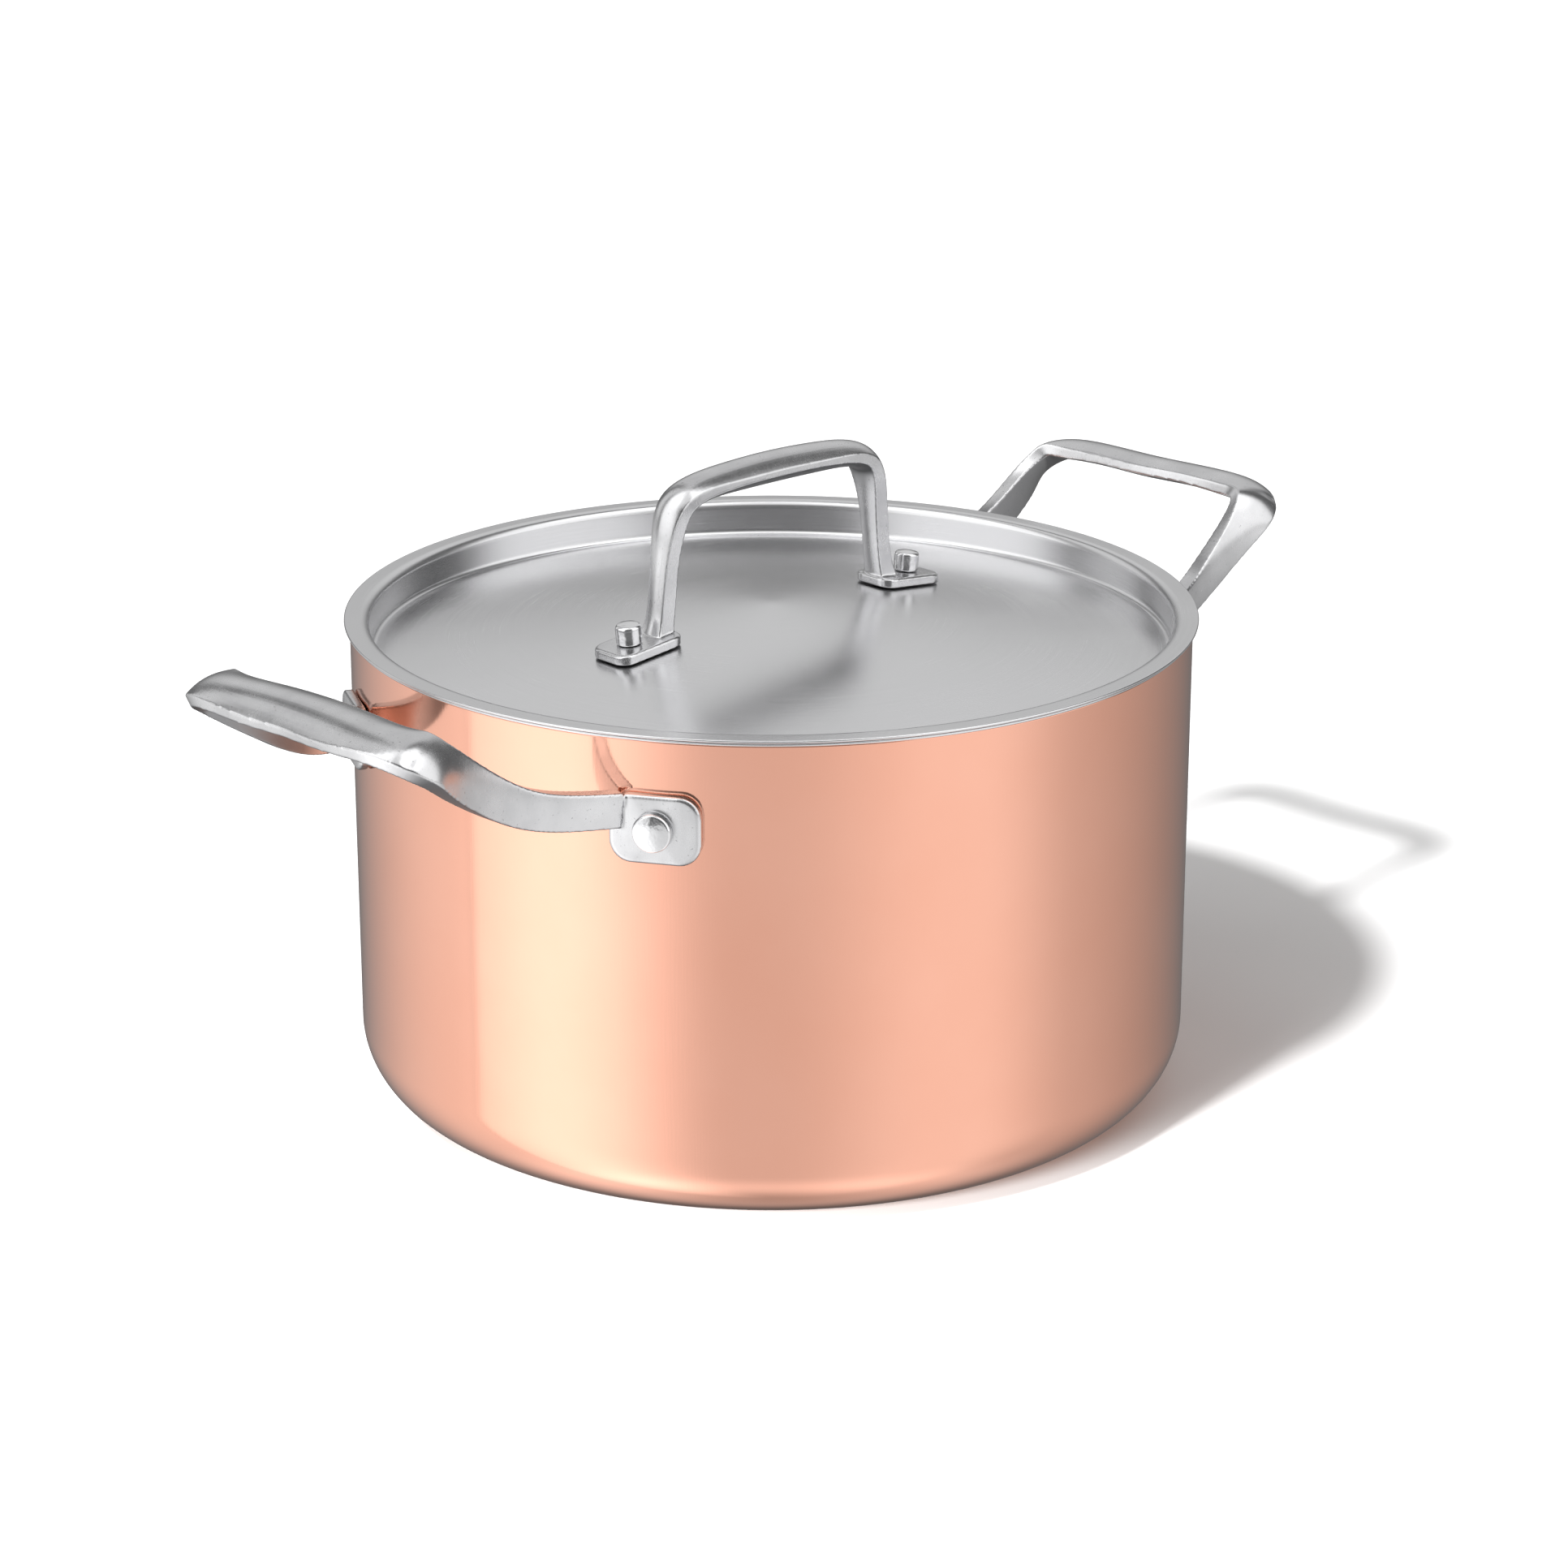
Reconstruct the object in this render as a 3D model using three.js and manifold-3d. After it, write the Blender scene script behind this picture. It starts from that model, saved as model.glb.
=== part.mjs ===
// A covered copper stockpot: a three-ply pot with two riveted loop handles, and a lift-off lid.
// Millimetres, +Z up. The origin is the middle of the resting face. The side handles lie along X.
import * as THREE from "three";
import { mergeVertices } from "three/addons/utils/BufferGeometryUtils.js";
import Module from "manifold-3d";

const wasm = await Module();
wasm.setup();

// ---- driving dimensions -------------------------------------------------------------------

const POT = {
  radius: 120,
  height: 140, // resting face to the top of the pouring lip
  cornerRadius: 21, // outside radius between the base and the wall
  copper: 0.7, // ply thicknesses, from the outside in
  core: 1.2,
  liner: 0.6,
  bond: 0.1, // modelled gap between two plies
  lipOverhang: 0.6, // how far the liner's lip stands out past the copper
  lipThickness: 0.8,
};

const LID = {
  sheet: 0.9,
  seatGap: 0.3, // modelled gap between the lip and the flange that rests on it
  flangeRadius: 121.6,
  recessRadius: 114.4, // inside of the upright wall
  recessDepth: 10.4, // flange top to the foot of the upright wall
  domeRise: 11.7, // foot of the wall to the middle of the disc
  domePower: 1.32, // 1 is a cone, 2 is nearly a sphere
  edgeRadius: 1.6, // inside radius of both bends
};

const SIDE_HANDLE = {
  rivetAngle: 29.5, // degrees either side of X
  rivetHeight: 115.7,
  padLength: 25, // round the wall
  padHeight: 19,
  padThickness: 3,
  padCorner: 6,
  wallGap: 0.3,
};

// Half of a side handle's centre line, from inside its pad to the middle of the grip: `at` is
// out from the pot's axis, sideways and up. The bar has a width, a thickness and a roll in
// degrees: 0 has the width upright, 90 has it level.
const SIDE_HANDLE_STATIONS = [
  { at: [111, 51.8, 120.6], width: 9.6, thickness: 4.8, roll: 0 },
  { at: [130, 45.8, 123.2], width: 10.3, thickness: 5.2, roll: 0 },
  { at: [145.5, 43.2, 129.6], width: 11.1, thickness: 5.2, roll: 2 },
  { at: [160.5, 43, 139.8], width: 12.2, thickness: 5.4, roll: 16 },
  { at: [168.3, 42.2, 145.9], width: 14.2, thickness: 5.9, roll: 50 },
  { at: [172.8, 34.6, 149], width: 16.2, thickness: 6.3, roll: 79 },
  { at: [173.3, 17, 149.6], width: 17.6, thickness: 6.5, roll: 77 },
  { at: [172.4, 0, 149.6], width: 17.8, thickness: 6.6, roll: 77 },
];

const LID_HANDLE = {
  turn: -3.3, // degrees that the lid is turned in the pot, from the line of the side handles
  rivetDistance: 53.6, // from the middle of the lid
  footInner: 39, // where a foot starts and ends, from the middle of the lid
  footOuter: 62,
  footWidth: 15,
  footThickness: 3,
  footCorner: 4,
  lidGap: 0.3,
};

// Half of the lid handle's centre line, from inside its foot to the middle of the grip, with
// the bar's width level throughout.
const LID_HANDLE_STATIONS = [
  { at: [43.8, 0, 140.9], width: 8, thickness: 6.8 },
  { at: [42.2, 0, 148], width: 6.6, thickness: 6.2 },
  { at: [40.6, 0, 162], width: 7, thickness: 6.2 },
  { at: [38.6, 0, 173], width: 9.8, thickness: 6.8 },
  { at: [32.5, 0, 180.3], width: 12, thickness: 7.4 },
  { at: [16, 0, 182.3], width: 13.4, thickness: 8.2 },
  { at: [0, 0, 182.6], width: 13.8, thickness: 8.8 },
];

const POT_RIVET = {
  head: 10.7, // across the outer head
  headHeight: 3.2,
  crown: 0.9,
  shank: 6.4,
  innerHead: 11.5,
  innerHeight: 1.4,
};
const LID_RIVET = {
  head: 7.3,
  headHeight: 6,
  crown: 0.8,
  shank: 4.4,
  innerHead: 8.4,
  innerHeight: 1.2,
};
const RIVET_GAP = 0.2; // modelled gap under each head
const INNER_HEAD_DROP = 0.34; // the disc curves this far away under a lid rivet's inner head
const HOLE_CLEARANCE = 0.3; // on the radius, round a rivet's shank
const CUT_LENGTH = 30; // long enough to reach right through whatever is cut

const TURN_STEPS = 48; // facets round the pot and the lid
const RIVET_STEPS = 14;
const CORNER_STEPS = 5;
const DOME_STEPS = 5;
const BAR_RINGS = 30;
const BAR_FACETS = 12;
const BAR_SQUARENESS = 0.72; // of a bar's section: 1 is an ellipse, smaller is nearer to a rectangle

const COPPER = { color: 0xdf9f7d, roughness: 0.14, metalness: 1 };
const ALUMINIUM = { color: 0xb9bcc0, roughness: 0.5, metalness: 1 };
const SHEET_STEEL = { color: 0xc6c7c9, roughness: 0.3, metalness: 1 };
const CAST_STEEL = { color: 0xb4b5b7, roughness: 0.35, metalness: 1 };
const RIVET_STEEL = { color: 0xd8d9db, roughness: 0.2, metalness: 1 };

const LEFT = 180;
const RIGHT = 0;
const Y = new THREE.Vector3(0, 1, 0);
const Z = new THREE.Vector3(0, 0, 1);

// ---- solids -------------------------------------------------------------------------------

const radians = THREE.MathUtils.degToRad;

function toSolid(geometry) {
  geometry.deleteAttribute("normal");
  geometry.deleteAttribute("uv");
  const merged = mergeVertices(geometry);
  const vertProperties = new Float32Array(merged.attributes.position.array);
  const triVerts = new Uint32Array(merged.index.array);
  return new wasm.Manifold(new wasm.Mesh({ numProp: 3, vertProperties, triVerts }));
}

function toMesh(name, solid, look) {
  const { vertProperties, triVerts } = solid.getMesh();
  const geometry = new THREE.BufferGeometry();
  geometry.setAttribute("position", new THREE.BufferAttribute(new Float32Array(vertProperties), 3));
  geometry.setIndex(new THREE.BufferAttribute(new Uint32Array(triVerts), 1));
  geometry.computeVertexNormals();
  const mesh = new THREE.Mesh(geometry, new THREE.MeshStandardMaterial(look));
  mesh.name = name;
  return mesh;
}

// A solid of revolution about +Z, from points (radius, height) that run anticlockwise.
function turned(points, steps = TURN_STEPS) {
  const profile = points.map(([radius, height]) => new THREE.Vector2(radius, height));
  return toSolid(new THREE.LatheGeometry(profile, steps).rotateX(Math.PI / 2));
}

// Points (radius, height) on an arc from one angle to another, both ends included.
function arc(centreRadius, centreHeight, radius, fromDegrees, toDegrees, steps) {
  return Array.from({ length: steps + 1 }, (_, i) => {
    const angle = radians(fromDegrees + ((toDegrees - fromDegrees) * i) / steps);
    return [centreRadius + radius * Math.cos(angle), centreHeight + radius * Math.sin(angle)];
  });
}

// A plate with rounded corners about the origin, from z = 0 up.
function roundedPlate(length, width, corner, depth) {
  const x = length / 2;
  const y = width / 2;
  const outline = new THREE.Shape();
  outline.moveTo(corner - x, -y);
  outline.lineTo(x - corner, -y);
  outline.absarc(x - corner, corner - y, corner, -Math.PI / 2, 0);
  outline.absarc(x - corner, y - corner, corner, 0, Math.PI / 2);
  outline.absarc(corner - x, y - corner, corner, Math.PI / 2, Math.PI);
  outline.absarc(corner - x, corner - y, corner, Math.PI, 1.5 * Math.PI);
  return toSolid(new THREE.ExtrudeGeometry(outline, { depth, bevelEnabled: false, curveSegments: 4 }));
}

// ---- the pot's plies ----------------------------------------------------------------------

const coreDepth = POT.copper + POT.bond;
const linerDepth = coreDepth + POT.core + POT.bond;
const wallThickness = linerDepth + POT.liner;
const lipUnderside = POT.height - POT.lipThickness;
const plyTop = lipUnderside - POT.bond;

// The pot's surface at a depth into its wall, from the middle of the base up to a height.
function potSurface(depth, topHeight) {
  const centreRadius = POT.radius - POT.cornerRadius;
  return [
    [0, depth],
    ...arc(centreRadius, POT.cornerRadius, POT.cornerRadius - depth, -90, 0, CORNER_STEPS),
    [POT.radius - depth, topHeight],
  ];
}

function ply(outerDepth, innerDepth) {
  return turned([...potSurface(outerDepth, plyTop), ...potSurface(innerDepth, plyTop).reverse()]);
}

function linerWithLip() {
  const lipRadius = POT.radius + POT.lipOverhang;
  const outside = potSurface(linerDepth, lipUnderside);
  const inside = potSurface(wallThickness, POT.height).reverse();
  return turned([...outside, [lipRadius, lipUnderside], [lipRadius, POT.height], ...inside]);
}

// ---- rivets -------------------------------------------------------------------------------

// A rivet along +Z: its outer head stands on z = 0 and its shank goes down through the grip.
function rivet({ head, headHeight, crown, shank, innerHead, innerHeight }, grip) {
  const headRadius = head / 2;
  const innerRadius = innerHead / 2;
  const shankRadius = shank / 2;
  const bottom = -grip - innerHeight;
  return turned(
    [
      [0, bottom],
      [innerRadius - innerHeight, bottom],
      [innerRadius, bottom + innerHeight / 2],
      [innerRadius, -grip],
      [shankRadius, -grip],
      [shankRadius, 0],
      [headRadius, 0],
      [headRadius, headHeight - crown],
      [headRadius - crown, headHeight - crown / 3],
      [0, headHeight],
    ],
    RIVET_STEPS,
  );
}

function shankHole({ shank }) {
  const radius = shank / 2 + HOLE_CLEARANCE;
  const cylinder = new THREE.CylinderGeometry(radius, radius, CUT_LENGTH, RIVET_STEPS);
  return toSolid(cylinder.rotateX(Math.PI / 2));
}

// Turns a solid made along +Z to point straight out of the pot's wall, at a distance and angle.
function ontoWall(solid, distance, angleDegrees) {
  const angle = radians(angleDegrees);
  return solid
    .rotate([0, 90, angleDegrees])
    .translate([distance * Math.cos(angle), distance * Math.sin(angle), SIDE_HANDLE.rivetHeight]);
}

const POT_RIVET_ANGLES = {
  pot_rivet_left_front: LEFT + SIDE_HANDLE.rivetAngle,
  pot_rivet_left_rear: LEFT - SIDE_HANDLE.rivetAngle,
  pot_rivet_right_front: RIGHT - SIDE_HANDLE.rivetAngle,
  pot_rivet_right_rear: RIGHT + SIDE_HANDLE.rivetAngle,
};

const padOuterRadius = POT.radius + SIDE_HANDLE.wallGap + SIDE_HANDLE.padThickness;

function potRivet(angle) {
  const headSeat = padOuterRadius + RIVET_GAP;
  const facetMiddle = Math.cos(Math.PI / TURN_STEPS);
  const innerWall = (POT.radius - wallThickness) * facetMiddle;
  const innerSeat = Math.sqrt(innerWall ** 2 - (POT_RIVET.innerHead / 2) ** 2) - RIVET_GAP;
  return ontoWall(rivet(POT_RIVET, headSeat - innerSeat), headSeat, angle);
}

function wallHoles() {
  const angles = Object.values(POT_RIVET_ANGLES);
  return wasm.Manifold.union(angles.map((angle) => ontoWall(shankHole(POT_RIVET), POT.radius, angle)));
}

// ---- handle bars --------------------------------------------------------------------------

// A bar's width, thickness or roll at a fraction of the way along its stations.
function valueAt(stations, key, fraction) {
  const place = fraction * (stations.length - 1);
  const index = Math.min(Math.floor(place), stations.length - 2);
  const share = THREE.MathUtils.smoothstep(place - index, 0, 1);
  return THREE.MathUtils.lerp(stations[index][key], stations[index + 1][key], share);
}

// One ring of a bar: a rounded oblong, wide along `across` and thin along `through`.
function barRing(centre, across, through, width, thickness) {
  return Array.from({ length: BAR_FACETS }, (_, i) => {
    const angle = (2 * Math.PI * i) / BAR_FACETS;
    const cos = Math.cos(angle);
    const sin = Math.sin(angle);
    const x = (Math.sign(cos) * Math.abs(cos) ** BAR_SQUARENESS * width) / 2;
    const y = (Math.sign(sin) * Math.abs(sin) ** BAR_SQUARENESS * thickness) / 2;
    return centre.clone().addScaledVector(across, x).addScaledVector(through, y);
  });
}

// Closes a row of rings into a solid, with a fan over each end.
function skinned(rings) {
  const count = rings[0].length;
  const last = (rings.length - 1) * count;
  const faces = [];
  for (let start = 0; start < last; start += count) {
    for (let i = 0; i < count; i += 1) {
      const a = start + i;
      const b = start + ((i + 1) % count);
      faces.push(a, b, b + count, a, b + count, a + count);
    }
  }
  for (let i = 1; i < count - 1; i += 1) {
    faces.push(0, i + 1, i, last, last + i, last + i + 1);
  }
  const geometry = new THREE.BufferGeometry().setFromPoints(rings.flat());
  return toSolid(geometry.setIndex(faces));
}

// A bar through the stations and their mirror images across one axis. `widthDirection` gives
// the way the width points, from the bar's own direction and roll.
function bar(halfStations, mirrorAxis, widthDirection) {
  const otherHalf = halfStations.slice(0, -1).reverse();
  const mirrored = otherHalf.map((station) => {
    const at = [...station.at];
    at[mirrorAxis] *= -1;
    return { ...station, at };
  });
  const stations = [...halfStations, ...mirrored];
  const points = stations.map(({ at }) => new THREE.Vector3(...at));
  const curve = new THREE.CatmullRomCurve3(points, false, "centripetal");
  const rings = Array.from({ length: BAR_RINGS + 1 }, (_, i) => {
    const fraction = i / BAR_RINGS;
    const along = curve.getTangent(fraction);
    const across = widthDirection(along, valueAt(stations, "roll", fraction));
    const through = along.clone().cross(across).normalize();
    const width = valueAt(stations, "width", fraction);
    const thickness = valueAt(stations, "thickness", fraction);
    return barRing(curve.getPoint(fraction), across, through, width, thickness);
  });
  return skinned(rings);
}

// ---- side handles -------------------------------------------------------------------------

function rolledWidth(along, rollDegrees) {
  const level = along.clone().cross(Z).normalize();
  const upright = level.clone().cross(along);
  const roll = radians(rollDegrees);
  return upright.multiplyScalar(Math.cos(roll)).addScaledVector(level, Math.sin(roll));
}

// The band round the pot that the pads are cut from.
function padBand() {
  const inner = POT.radius + SIDE_HANDLE.wallGap;
  const low = SIDE_HANDLE.rivetHeight - SIDE_HANDLE.padHeight;
  const high = SIDE_HANDLE.rivetHeight + SIDE_HANDLE.padHeight;
  return turned([[inner, low], [padOuterRadius, low], [padOuterRadius, high], [inner, high], [inner, low]]);
}

function pad(angle) {
  const { padHeight, padLength, padCorner } = SIDE_HANDLE;
  const block = roundedPlate(padHeight, padLength, padCorner, CUT_LENGTH);
  return padBand().intersect(ontoWall(block.translate([0, 0, -CUT_LENGTH / 2]), POT.radius, angle));
}

function sideHandle(facing) {
  const { rivetAngle } = SIDE_HANDLE;
  return bar(SIDE_HANDLE_STATIONS, 1, rolledWidth)
    .add(pad(rivetAngle))
    .add(pad(-rivetAngle))
    .rotate([0, 0, facing])
    .subtract(wallHoles());
}

// ---- lid ----------------------------------------------------------------------------------

const flangeTop = POT.height + LID.seatGap + LID.sheet;
const recessFoot = flangeTop - LID.recessDepth;

function domeHeight(radius) {
  const reach = LID.recessRadius - LID.edgeRadius;
  return recessFoot + LID.domeRise * (1 - (radius / reach) ** LID.domePower);
}

// Points on the disc raised by some height, from the middle out to a radius.
function domePoints(raise, reach, steps = DOME_STEPS) {
  return Array.from({ length: steps + 1 }, (_, i) => {
    const radius = (reach * i) / steps;
    return [radius, domeHeight(radius) + raise];
  });
}

function lidSheet() {
  const { sheet, edgeRadius, recessRadius, flangeRadius } = LID;
  const outer = edgeRadius + sheet;
  const cornerCentre = recessRadius - edgeRadius;
  const bendCentre = recessRadius + outer;
  const under = [
    ...domePoints(-sheet, cornerCentre),
    ...arc(cornerCentre, recessFoot + edgeRadius, outer, -60, 0, 2),
    ...arc(bendCentre, flangeTop - outer, outer - sheet, 180, 90, 2),
    [flangeRadius, flangeTop - sheet],
  ];
  const top = [
    [flangeRadius, flangeTop],
    ...arc(bendCentre, flangeTop - outer, outer, 90, 180, 2),
    ...arc(cornerCentre, recessFoot + edgeRadius, edgeRadius, 0, -60, 2),
    ...domePoints(0, cornerCentre).reverse(),
  ];
  return turned([...under, ...top]);
}

// Turns a solid made along +Z to stand on the disc at one end of the lid's handle.
function ontoLid(solid, side) {
  const { rivetDistance, lidGap, footThickness } = LID_HANDLE;
  const step = 1;
  const slope = domeHeight(rivetDistance) - domeHeight(rivetDistance + step);
  const tilt = THREE.MathUtils.radToDeg(Math.atan2(slope, step));
  const height = domeHeight(rivetDistance) + lidGap + footThickness + RIVET_GAP;
  return solid
    .rotate([0, tilt, 0])
    .translate([rivetDistance, 0, height])
    .rotate([0, 0, side + LID_HANDLE.turn]);
}

function lidRivet(side) {
  const { lidGap, footThickness } = LID_HANDLE;
  const grip = RIVET_GAP + footThickness + lidGap + LID.sheet + INNER_HEAD_DROP + RIVET_GAP;
  return ontoLid(rivet(LID_RIVET, grip), side);
}

function lidHoles() {
  return ontoLid(shankHole(LID_RIVET), LEFT).add(ontoLid(shankHole(LID_RIVET), RIGHT));
}

// One foot plate, cut from a layer that follows the disc.
function foot(side) {
  const { footInner, footOuter, footWidth, footCorner, footThickness, lidGap } = LID_HANDLE;
  const reach = footOuter + footWidth;
  const under = domePoints(lidGap, reach);
  const over = domePoints(lidGap + footThickness, reach).reverse();
  const block = roundedPlate(footOuter - footInner, footWidth, footCorner, CUT_LENGTH)
    .translate([(footInner + footOuter) / 2, 0, domeHeight(footInner) - CUT_LENGTH / 2])
    .rotate([0, 0, side]);
  return turned([...under, ...over]).intersect(block);
}

function lidHandle() {
  return bar(LID_HANDLE_STATIONS, 0, () => Y.clone())
    .add(foot(LEFT))
    .add(foot(RIGHT))
    .rotate([0, 0, LID_HANDLE.turn])
    .subtract(lidHoles());
}

// ---- the whole pot ------------------------------------------------------------------------

const holes = wallHoles();

const pot = new THREE.Group();
pot.add(
  toMesh("copper_shell", ply(0, POT.copper).subtract(holes), COPPER),
  toMesh("aluminium_core", ply(coreDepth, coreDepth + POT.core).subtract(holes), ALUMINIUM),
  toMesh("steel_liner", linerWithLip().subtract(holes), SHEET_STEEL),
  toMesh("side_handle_left", sideHandle(LEFT), CAST_STEEL),
  toMesh("side_handle_right", sideHandle(RIGHT), CAST_STEEL),
);
for (const [name, angle] of Object.entries(POT_RIVET_ANGLES)) {
  pot.add(toMesh(name, potRivet(angle), RIVET_STEEL));
}

const lid = new THREE.Group();
lid.add(
  toMesh("lid_disc", lidSheet().subtract(lidHoles()), SHEET_STEEL),
  toMesh("lid_handle", lidHandle(), CAST_STEEL),
  toMesh("lid_rivet_left", lidRivet(LEFT), RIVET_STEEL),
  toMesh("lid_rivet_right", lidRivet(RIGHT), RIVET_STEEL),
);

const group = new THREE.Group();
group.add(pot, lid);
export default group;
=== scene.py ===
"""A covered copper stockpot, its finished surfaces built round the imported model.

Sizes are in millimetres up to the point where a mesh is made, and in metres from there on.
+Z is up, the origin is the middle of the resting face, and the side handles lie along X.
"""

import math

import bmesh
import bpy
import numpy as np
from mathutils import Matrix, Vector


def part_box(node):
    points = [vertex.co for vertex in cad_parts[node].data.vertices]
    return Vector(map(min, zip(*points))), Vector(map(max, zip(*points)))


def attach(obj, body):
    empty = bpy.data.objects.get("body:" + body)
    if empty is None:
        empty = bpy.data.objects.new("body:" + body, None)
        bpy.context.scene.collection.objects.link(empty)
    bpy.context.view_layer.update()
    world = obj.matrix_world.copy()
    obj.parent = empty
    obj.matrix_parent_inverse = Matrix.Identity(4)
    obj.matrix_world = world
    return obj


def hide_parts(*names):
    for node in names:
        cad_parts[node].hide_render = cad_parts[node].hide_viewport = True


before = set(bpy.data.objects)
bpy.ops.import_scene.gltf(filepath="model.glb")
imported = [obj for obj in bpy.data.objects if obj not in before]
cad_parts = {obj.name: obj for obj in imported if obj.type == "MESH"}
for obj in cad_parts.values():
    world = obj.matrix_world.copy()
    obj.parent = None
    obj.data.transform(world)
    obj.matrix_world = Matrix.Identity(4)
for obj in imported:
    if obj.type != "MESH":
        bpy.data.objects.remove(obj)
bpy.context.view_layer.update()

MM = 0.001

# ---- sizes --------------------------------------------------------------------------------


def box_mm(node):
    """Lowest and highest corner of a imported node, in millimetres."""
    return [[c / MM for c in corner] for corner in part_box(node)]


POT_RADIUS = box_mm("copper_shell")[1][0]
COPPER_TOP = box_mm("copper_shell")[1][2]
LIP_RADIUS = box_mm("steel_liner")[1][0]
LIP_TOP = box_mm("steel_liner")[1][2]
FLANGE_RADIUS = box_mm("lid_disc")[1][0]
DOME_TOP = box_mm("lid_disc")[1][2]

CORNER_RADIUS = 21
COPPER = 0.7
CORE = 1.2
LINER = 0.6
BOND = 0.1
LINER_DEPTH = COPPER + CORE + 2 * BOND
WALL = LINER_DEPTH + LINER

LIP_THICKNESS = 0.8
LIP_BEND = 1.2  # radius of the lip's inner edge

SHEET = 0.9
SEAT_GAP = 0.3
FLANGE_TOP = LIP_TOP + (SEAT_GAP + SHEET)
RECESS_RADIUS = 114.4
RECESS_DEPTH = 10.4
DOME_POWER = 1.32
BEND_RADIUS = 1.6
HEM_RADIUS = 0.4  # of the flange's rounded edge
LID_TURN = -3.3  # degrees

PAD_ANGLE = 29.5  # degrees either side of X
PAD_HEIGHT = 115.7  # middle of a pad, above the resting face
PAD_SIZE = (25, 19, 3)  # round the wall, up it, and out from it
PAD_CORNER = 6
PAD_GAP = 0.3

# Half of each bar's centre line, from inside its foot to the middle of the grip.
# `at`: out, sideways, up. `size`: width, thickness. `roll`: 0 has the width upright, 90 level.
# `crown` and `belly`: how far the outer and the inner face swell past the bar's two edges.
SIDE_BAR = [
    {"at": (111.0, 51.8, 120.6), "size": (9.6, 4.8), "roll": 0, "crown": 0.4, "belly": 0.2},
    {"at": (130.0, 45.8, 123.2), "size": (10.3, 5.2), "roll": 0, "crown": 0.5, "belly": 0.3},
    {"at": (145.5, 43.2, 129.6), "size": (11.1, 5.2), "roll": 2, "crown": 0.6, "belly": 0.3},
    {"at": (160.5, 43.0, 139.8), "size": (12.4, 5.4), "roll": 16, "crown": 0.8, "belly": 0.4},
    {"at": (168.3, 42.2, 145.9), "size": (14.4, 6.0), "roll": 50, "crown": 1.3, "belly": 0.5},
    {"at": (172.8, 34.6, 149.0), "size": (16.2, 6.4), "roll": 79, "crown": 2.2, "belly": 0.7},
    {"at": (173.3, 17.0, 149.6), "size": (17.6, 6.7), "roll": 77, "crown": 3.1, "belly": 0.9},
    {"at": (172.4, 0.0, 149.6), "size": (17.8, 6.8), "roll": 77, "crown": 3.2, "belly": 0.9},
]
LID_BAR = [
    {"at": (43.8, 0.0, 140.9), "size": (8.4, 6.8), "roll": 90, "crown": 0.6, "belly": 0.4},
    {"at": (42.2, 0.0, 148.0), "size": (6.8, 6.2), "roll": 90, "crown": 0.9, "belly": 0.4},
    {"at": (40.6, 0.0, 162.0), "size": (7.2, 6.2), "roll": 90, "crown": 1.0, "belly": 0.5},
    {"at": (38.6, 0.0, 173.0), "size": (9.8, 6.8), "roll": 90, "crown": 1.6, "belly": 0.9},
    {"at": (32.5, 0.0, 180.3), "size": (12.0, 7.4), "roll": 90, "crown": 2.6, "belly": 1.6},
    {"at": (16.0, 0.0, 182.3), "size": (13.6, 8.4), "roll": 90, "crown": 3.6, "belly": 2.9},
    {"at": (0.0, 0.0, 182.6), "size": (13.8, 8.8), "roll": 90, "crown": 3.8, "belly": 3.2},
]
# The fold at the end of each grip: where it starts and ends, how deep it is and how far it spreads.
CREASE = {"from": (176.2, 43.9, 147.4), "to": (167.0, 40.4, 149.6), "depth": 0.5, "spread": 1.4}

RIVET_DISTANCE = 53.6
FOOT = {"inner": 39, "outer": 62, "width": 15, "thickness": 3, "corner": 4, "gap": 0.3}
POT_RIVET = {"head": 10.7, "tall": 3.2, "shank": 6.4, "inner": 11.5, "inner_tall": 1.4}
LID_RIVET = {"head": 7.3, "tall": 6.0, "shank": 4.4, "inner": 8.4, "inner_tall": 1.2}
RIVET_GAP = 0.2
FACET_SAG = 0.25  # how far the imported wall's flat facets stand in from a true circle
DISC_DROP = 0.3  # the disc curves this far away under a lid rivet's inner head

TURN_STEPS = 256
BAR_RINGS = 150
SIDE_VOXEL = 0.35
LID_VOXEL = 0.3
SOFTENING = 4  # rounds of smoothing after a casting's solids are melted together
SHARP_CORNER = 35  # degrees: a profile's corners past this are bevelled

# ---- meshes -------------------------------------------------------------------------------


def new_piece(name, vertices_mm, faces, smooth=True):
    """A mesh object from points in millimetres."""
    mesh = bpy.data.meshes.new(name)
    mesh.from_pydata([tuple(MM * c for c in v) for v in vertices_mm], [], faces)
    build = bmesh.new()
    build.from_mesh(mesh)
    bmesh.ops.remove_doubles(build, verts=build.verts, dist=1e-7)
    bmesh.ops.recalc_face_normals(build, faces=build.faces)
    build.to_mesh(mesh)
    build.free()
    piece = bpy.data.objects.new(name, mesh)
    bpy.context.scene.collection.objects.link(piece)
    if smooth:
        mesh.shade_smooth()
    return piece


def tube_faces(count, rings):
    """Faces that join rings of `count` points into a tube, and close its two ends."""
    last = (rings - 1) * count
    faces = [tuple(range(count))[::-1], tuple(range(last, last + count))]
    for low in range(0, last, count):
        high = low + count
        for i in range(count):
            j = (i + 1) % count
            faces.append((low + i, low + j, high + j, high + i))
    return faces


def arc(centre, radius, start, end, steps):
    """Points (radius, height) on an arc, in degrees, both ends included."""
    angles = np.radians(np.linspace(start, end, steps + 1))
    return [(centre[0] + radius * math.cos(a), centre[1] + radius * math.sin(a)) for a in angles]


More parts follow.
